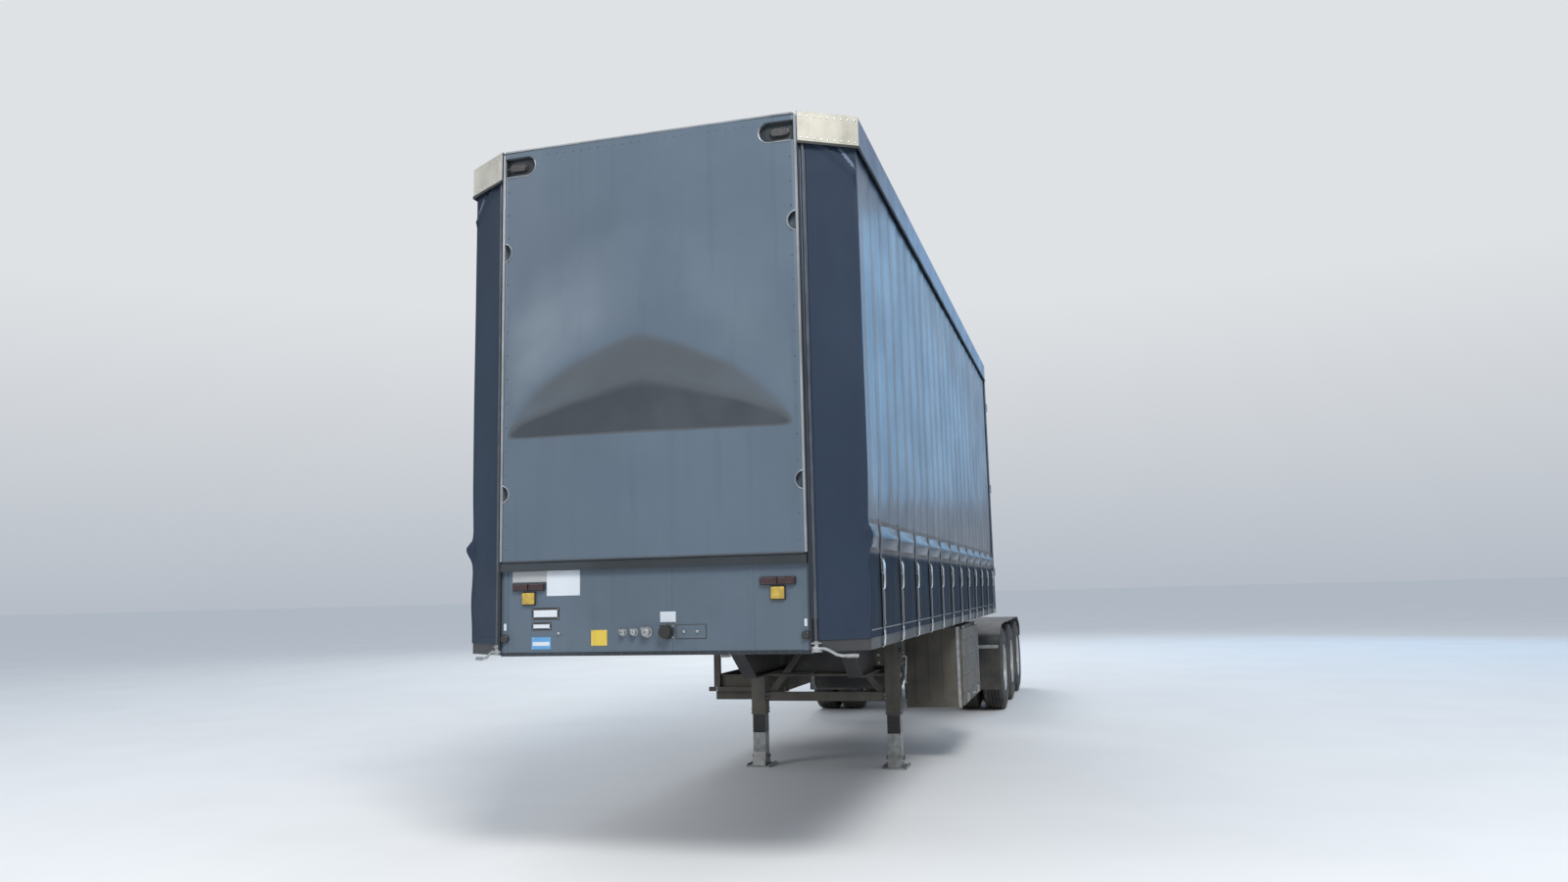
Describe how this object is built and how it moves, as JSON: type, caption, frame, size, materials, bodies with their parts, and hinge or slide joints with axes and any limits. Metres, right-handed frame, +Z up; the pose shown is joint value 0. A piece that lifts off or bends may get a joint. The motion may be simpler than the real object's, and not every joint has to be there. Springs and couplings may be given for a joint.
{
  "type": "curtain sided lead semi trailer",
  "caption": "Curtain-sided lead semi trailer on landing legs, with a dented front panel, side straps, a tail turntable behind the body, tool box, tray and twin-wheel axles.",
  "frame": {"origin": "on the ground under the middle of the overall length and width", "axes": "+Z up, -Y towards the flat front with the kingpin under it, +Y towards the tail, +X the vehicle's left side"},
  "size_m": [2.5, 12.332, 4.3],
  "materials": {
    "wall_paint": "satin, weathered",
    "panel_paint": "satin, dusty and streaked",
    "dark_trim": "matt",
    "bare_aluminium": "dull bright",
    "roof_sheet": "dull",
    "galvanised_steel": "dull zinc",
    "floor_ply": "worn",
    "chassis_paint": "satin under dust",
    "worn_steel": "greased",
    "leg_paint": "dusty",
    "box_paint": "dusty",
    "black_rubber": "matt",
    "black_plastic": "dusty",
    "cast_metal": "greased",
    "door_paint": "satin, weathered",
    "curtain_fabric": "semi-gloss coated cloth",
    "strap_webbing": "woven",
    "lamp_lens": "gloss",
    "tyre_rubber": "dusty",
    "rim_paint": "dusty"
  },
  "bodies": {
    "trailer": {"air_springs": "black_rubber", "air_tanks": "chassis_paint", "axles": "chassis_paint", "brake_chambers": "galvanised_steel", "chassis_rails": "chassis_paint", "coamings": "bare_aluminium", "corner_posts": "bare_aluminium", "coupling_plate": "chassis_paint", "cross_members": "chassis_paint", "curtain_left": "curtain_fabric", "curtain_poles": "galvanised_steel", "curtain_right": "curtain_fabric", "curtain_straps": "strap_webbing", "deck": "floor_ply", "dunnage_tray": "box_paint", "front_panel": "panel_paint", "front_wall": "wall_paint", "guard_stays": "galvanised_steel", "kingpin": "worn_steel", "lamps": "lamp_lens", "landing_braces": "leg_paint", "landing_feet": "galvanised_steel", "landing_legs": "leg_paint", "leg_crank": "galvanised_steel", "mudflaps": "black_rubber", "mudguards": "black_plastic", "panel_lip": "dark_trim", "rear_frame": "wall_paint", "roof": "roof_sheet", "roof_bows": "galvanised_steel", "service_couplings": "bare_aluminium", "side_rails": "chassis_paint", "strap_buckles": "galvanised_steel", "suspension_hangers": "chassis_paint", "tail_beam": "chassis_paint", "tool_box": "box_paint", "trailing_arms": "chassis_paint", "turntable_base": "chassis_paint"},
    "wheel_front_left": {"tyres_front_left": "tyre_rubber", "rims_front_left": "rim_paint"},
    "wheel_front_right": {"tyres_front_right": "tyre_rubber", "rims_front_right": "rim_paint"},
    "wheel_middle_left": {"tyres_middle_left": "tyre_rubber", "rims_middle_left": "rim_paint"},
    "wheel_middle_right": {"tyres_middle_right": "tyre_rubber", "rims_middle_right": "rim_paint"},
    "wheel_rear_left": {"tyres_rear_left": "tyre_rubber", "rims_rear_left": "rim_paint"},
    "wheel_rear_right": {"tyres_rear_right": "tyre_rubber", "rims_rear_right": "rim_paint"},
    "rear_door_left": {"door_left": "door_paint", "door_lock_left": "galvanised_steel"},
    "rear_door_right": {"door_right": "door_paint", "door_lock_right": "galvanised_steel"},
    "coupling_turntable": {"turntable_plate": "cast_metal"},
    "box_lid": {"tool_box_lid": "box_paint"}
  },
  "joints": [
    {"name": "wheel_front_left_spin", "type": "hinge", "parent": "trailer", "child": "wheel_front_left", "pos_m": [0.94, 2.946, 0.52], "axis": [1, 0, 0], "continuous": true},
    {"name": "wheel_front_right_spin", "type": "hinge", "parent": "trailer", "child": "wheel_front_right", "pos_m": [-0.94, 2.946, 0.52], "axis": [1, 0, 0], "continuous": true},
    {"name": "wheel_middle_left_spin", "type": "hinge", "parent": "trailer", "child": "wheel_middle_left", "pos_m": [0.94, 4.196, 0.52], "axis": [1, 0, 0], "continuous": true},
    {"name": "wheel_middle_right_spin", "type": "hinge", "parent": "trailer", "child": "wheel_middle_right", "pos_m": [-0.94, 4.196, 0.52], "axis": [1, 0, 0], "continuous": true},
    {"name": "wheel_rear_left_spin", "type": "hinge", "parent": "trailer", "child": "wheel_rear_left", "pos_m": [0.94, 5.446, 0.52], "axis": [1, 0, 0], "continuous": true},
    {"name": "wheel_rear_right_spin", "type": "hinge", "parent": "trailer", "child": "wheel_rear_right", "pos_m": [-0.94, 5.446, 0.52], "axis": [1, 0, 0], "continuous": true},
    {"name": "rear_door_left_hinge", "type": "hinge", "parent": "trailer", "child": "rear_door_left", "pos_m": [1.236, 1.966, 2.77], "axis": [0, 0, -1], "range_deg": [0, 255]},
    {"name": "rear_door_right_hinge", "type": "hinge", "parent": "trailer", "child": "rear_door_right", "pos_m": [-1.236, 1.966, 2.77], "axis": [0, 0, 1], "range_deg": [0, 255]},
    {"name": "turntable_tilt", "type": "hinge", "parent": "trailer", "child": "coupling_turntable", "pos_m": [0, 3.826, 1.14], "axis": [1, 0, 0], "range_deg": [-12, 12]},
    {"name": "box_lid_hinge", "type": "hinge", "parent": "trailer", "child": "box_lid", "pos_m": [1.21, -0.904, 1.205], "axis": [0, -1, 0], "range_deg": [0, 95]}
  ]
}
